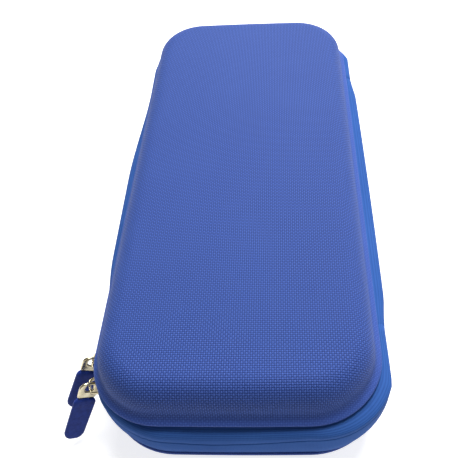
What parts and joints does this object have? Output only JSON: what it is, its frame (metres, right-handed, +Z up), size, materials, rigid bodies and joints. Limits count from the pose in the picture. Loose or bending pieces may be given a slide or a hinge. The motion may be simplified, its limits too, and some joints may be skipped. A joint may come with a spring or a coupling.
{
  "type": "telescope carry case",
  "caption": "Long moulded hard-shell zip case with rounded corners, blue woven skin, domed lid, foam cradle, straps, mesh pocket and zip sliders with rubber pulls.",
  "frame": {"origin": "middle of the flat underside of the base shell", "axes": "+Z up, +Y along the case towards its far short end, +X towards the long side with the fabric hinge; the zip sliders are on the -X side near the -Y end"},
  "size_m": [0.1506, 0.293, 0.0585],
  "materials": {
    "shell_fabric": "royal blue ballistic weave, moulded over foam",
    "zip_tape": "smooth blue woven tape",
    "zip_coil": "satin nylon",
    "lining": "brushed velour",
    "foam": "matte open foam",
    "webbing": "ribbed woven tape",
    "mesh": "open knitted net",
    "nickel": "polished pale nickel plate",
    "pull_rubber": "matte moulded navy rubber"
  },
  "bodies": {
    "base": {"base_shell": "shell_fabric", "base_lining": "lining", "base_edge_binding": "webbing", "zip_tape_lower": "zip_tape", "zip_coil_lower": "zip_coil", "zip_stop_lower_front": "zip_coil", "zip_stop_lower_rear": "zip_coil", "hinge_strip_lower": "zip_tape", "cradle_floor_pad": "foam", "foam_cradle": "foam", "strap_front": "webbing", "strap_rear": "webbing"},
    "lid": {"lid_shell": "shell_fabric", "lid_lining": "lining", "lid_edge_binding": "webbing", "zip_tape_upper": "zip_tape", "zip_coil_upper": "zip_coil", "zip_stop_upper_front": "zip_coil", "zip_stop_upper_rear": "zip_coil", "hinge_strip_upper": "zip_tape", "lid_foam_pad": "foam", "mesh_pocket": "mesh", "mesh_pocket_border": "webbing", "mesh_pocket_elastic": "webbing"},
    "rear_slider": {"rear_slider_body": "nickel", "rear_slider_crown": "nickel"},
    "rear_pull": {"rear_pull_link": "nickel", "rear_pull_tab": "pull_rubber"},
    "front_slider": {"front_slider_body": "nickel", "front_slider_crown": "nickel"},
    "front_pull": {"front_pull_link": "nickel", "front_pull_tab": "pull_rubber"}
  },
  "joints": [
    {"name": "lid_hinge", "type": "hinge", "parent": "base", "child": "lid", "pos_m": [0.0671, 0, 0.0304], "axis": [0, 1, 0], "range_deg": [0, 175]},
    {"name": "rear_slider_travel", "type": "slide", "parent": "base", "child": "rear_slider", "axis": [-0.0187, 0.9998, 0], "range_m": [0, 0.208]},
    {"name": "rear_pull_swing", "type": "hinge", "parent": "rear_slider", "child": "rear_pull", "pos_m": [-0.0664, -0.10958, 0.0304], "axis": [-0.0187, 0.9998, 0], "range_deg": [0, 100]},
    {"name": "front_slider_corner", "type": "hinge", "parent": "base", "child": "front_slider", "pos_m": [-0.0278, -0.112, 0.0304], "axis": [0, 0, 1], "range_deg": [0, 65]},
    {"name": "front_pull_swing", "type": "hinge", "parent": "front_slider", "child": "front_pull", "pos_m": [-0.0652, -0.12133, 0.0304], "axis": [-0.2419, 0.9703, 0], "range_deg": [0, 100]}
  ]
}
